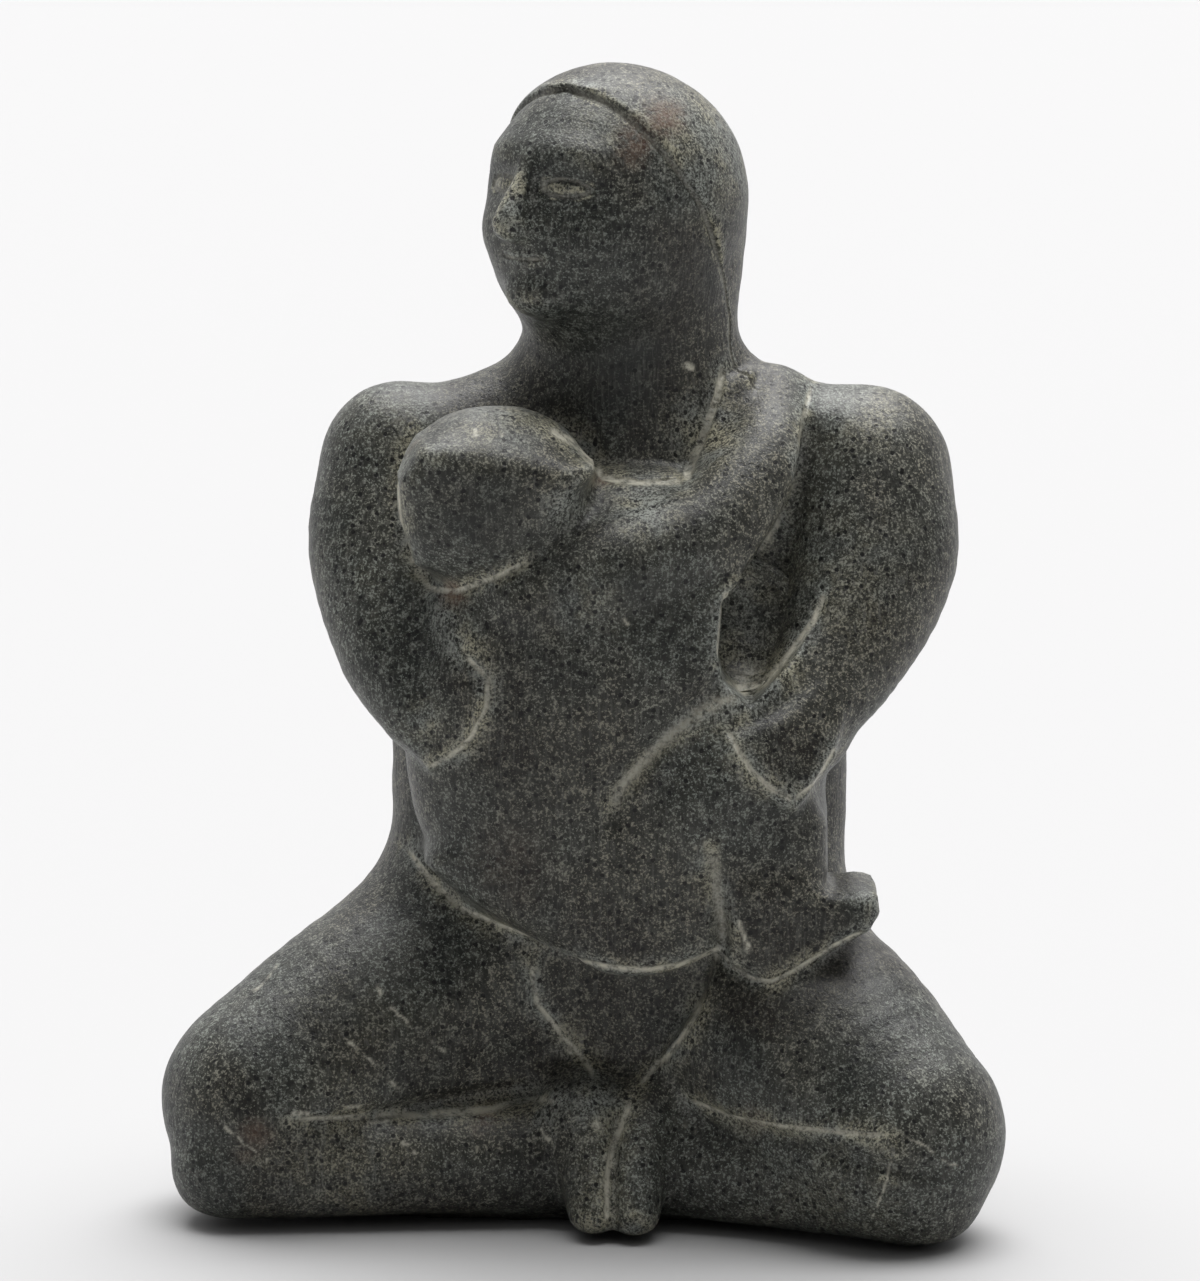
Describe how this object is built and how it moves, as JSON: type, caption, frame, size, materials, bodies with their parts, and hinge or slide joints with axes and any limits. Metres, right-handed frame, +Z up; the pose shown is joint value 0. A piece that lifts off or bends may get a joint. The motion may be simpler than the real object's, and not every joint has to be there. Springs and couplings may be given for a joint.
{
  "type": "stone sculpture",
  "caption": "Carved dark stone sculpture of a seated mother with folded legs, holding a child across her chest; stands on its own flat underside.",
  "frame": {"origin": "centre of the bounding box on the flat underside, at floor height", "axes": "+Z up, -Y towards the front of the seated figure, +X towards the figure's left hand side"},
  "size_m": [0.264, 0.15, 0.36],
  "materials": {
    "dark_stone": "fine-rasped, satin to matt, speckled dark green-grey"
  },
  "bodies": {
    "root": {"mother_and_child_stone": "dark_stone"}
  },
  "joints": []
}
